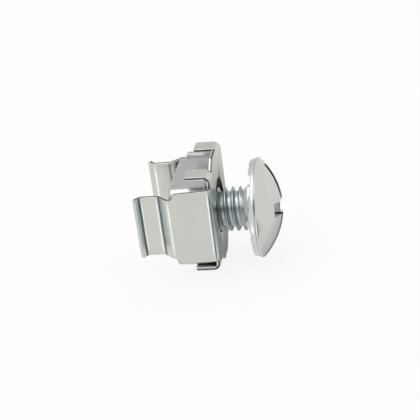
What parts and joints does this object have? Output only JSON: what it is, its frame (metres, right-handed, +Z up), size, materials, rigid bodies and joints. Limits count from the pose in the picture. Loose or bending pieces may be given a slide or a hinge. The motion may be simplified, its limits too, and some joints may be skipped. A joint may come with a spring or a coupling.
{
  "type": "rack cage nut with screw",
  "caption": "Square nut in a folded spring steel cage with two clip ears, with a broad, low-headed screw through its plate.",
  "frame": {"origin": "on the axis of the cage plate's hole, in the plane where a panel's rear face rests on the steps of the two ears", "axes": "+X along the screw, out of the middle of its head; +Y across from ear to ear; +Z up, along the height of the ears"},
  "size_m": [0.0185, 0.0136, 0.0148],
  "materials": {
    "spring_steel_zinc": "bright zinc plate on rolled spring steel",
    "nut_zinc": "bright zinc plate on a pressed steel nut",
    "screw_zinc": "smooth bright zinc plate on a cold headed screw"
  },
  "bodies": {
    "root": {"cage": "spring_steel_zinc", "square_nut": "nut_zinc", "screw": "screw_zinc"}
  },
  "joints": []
}
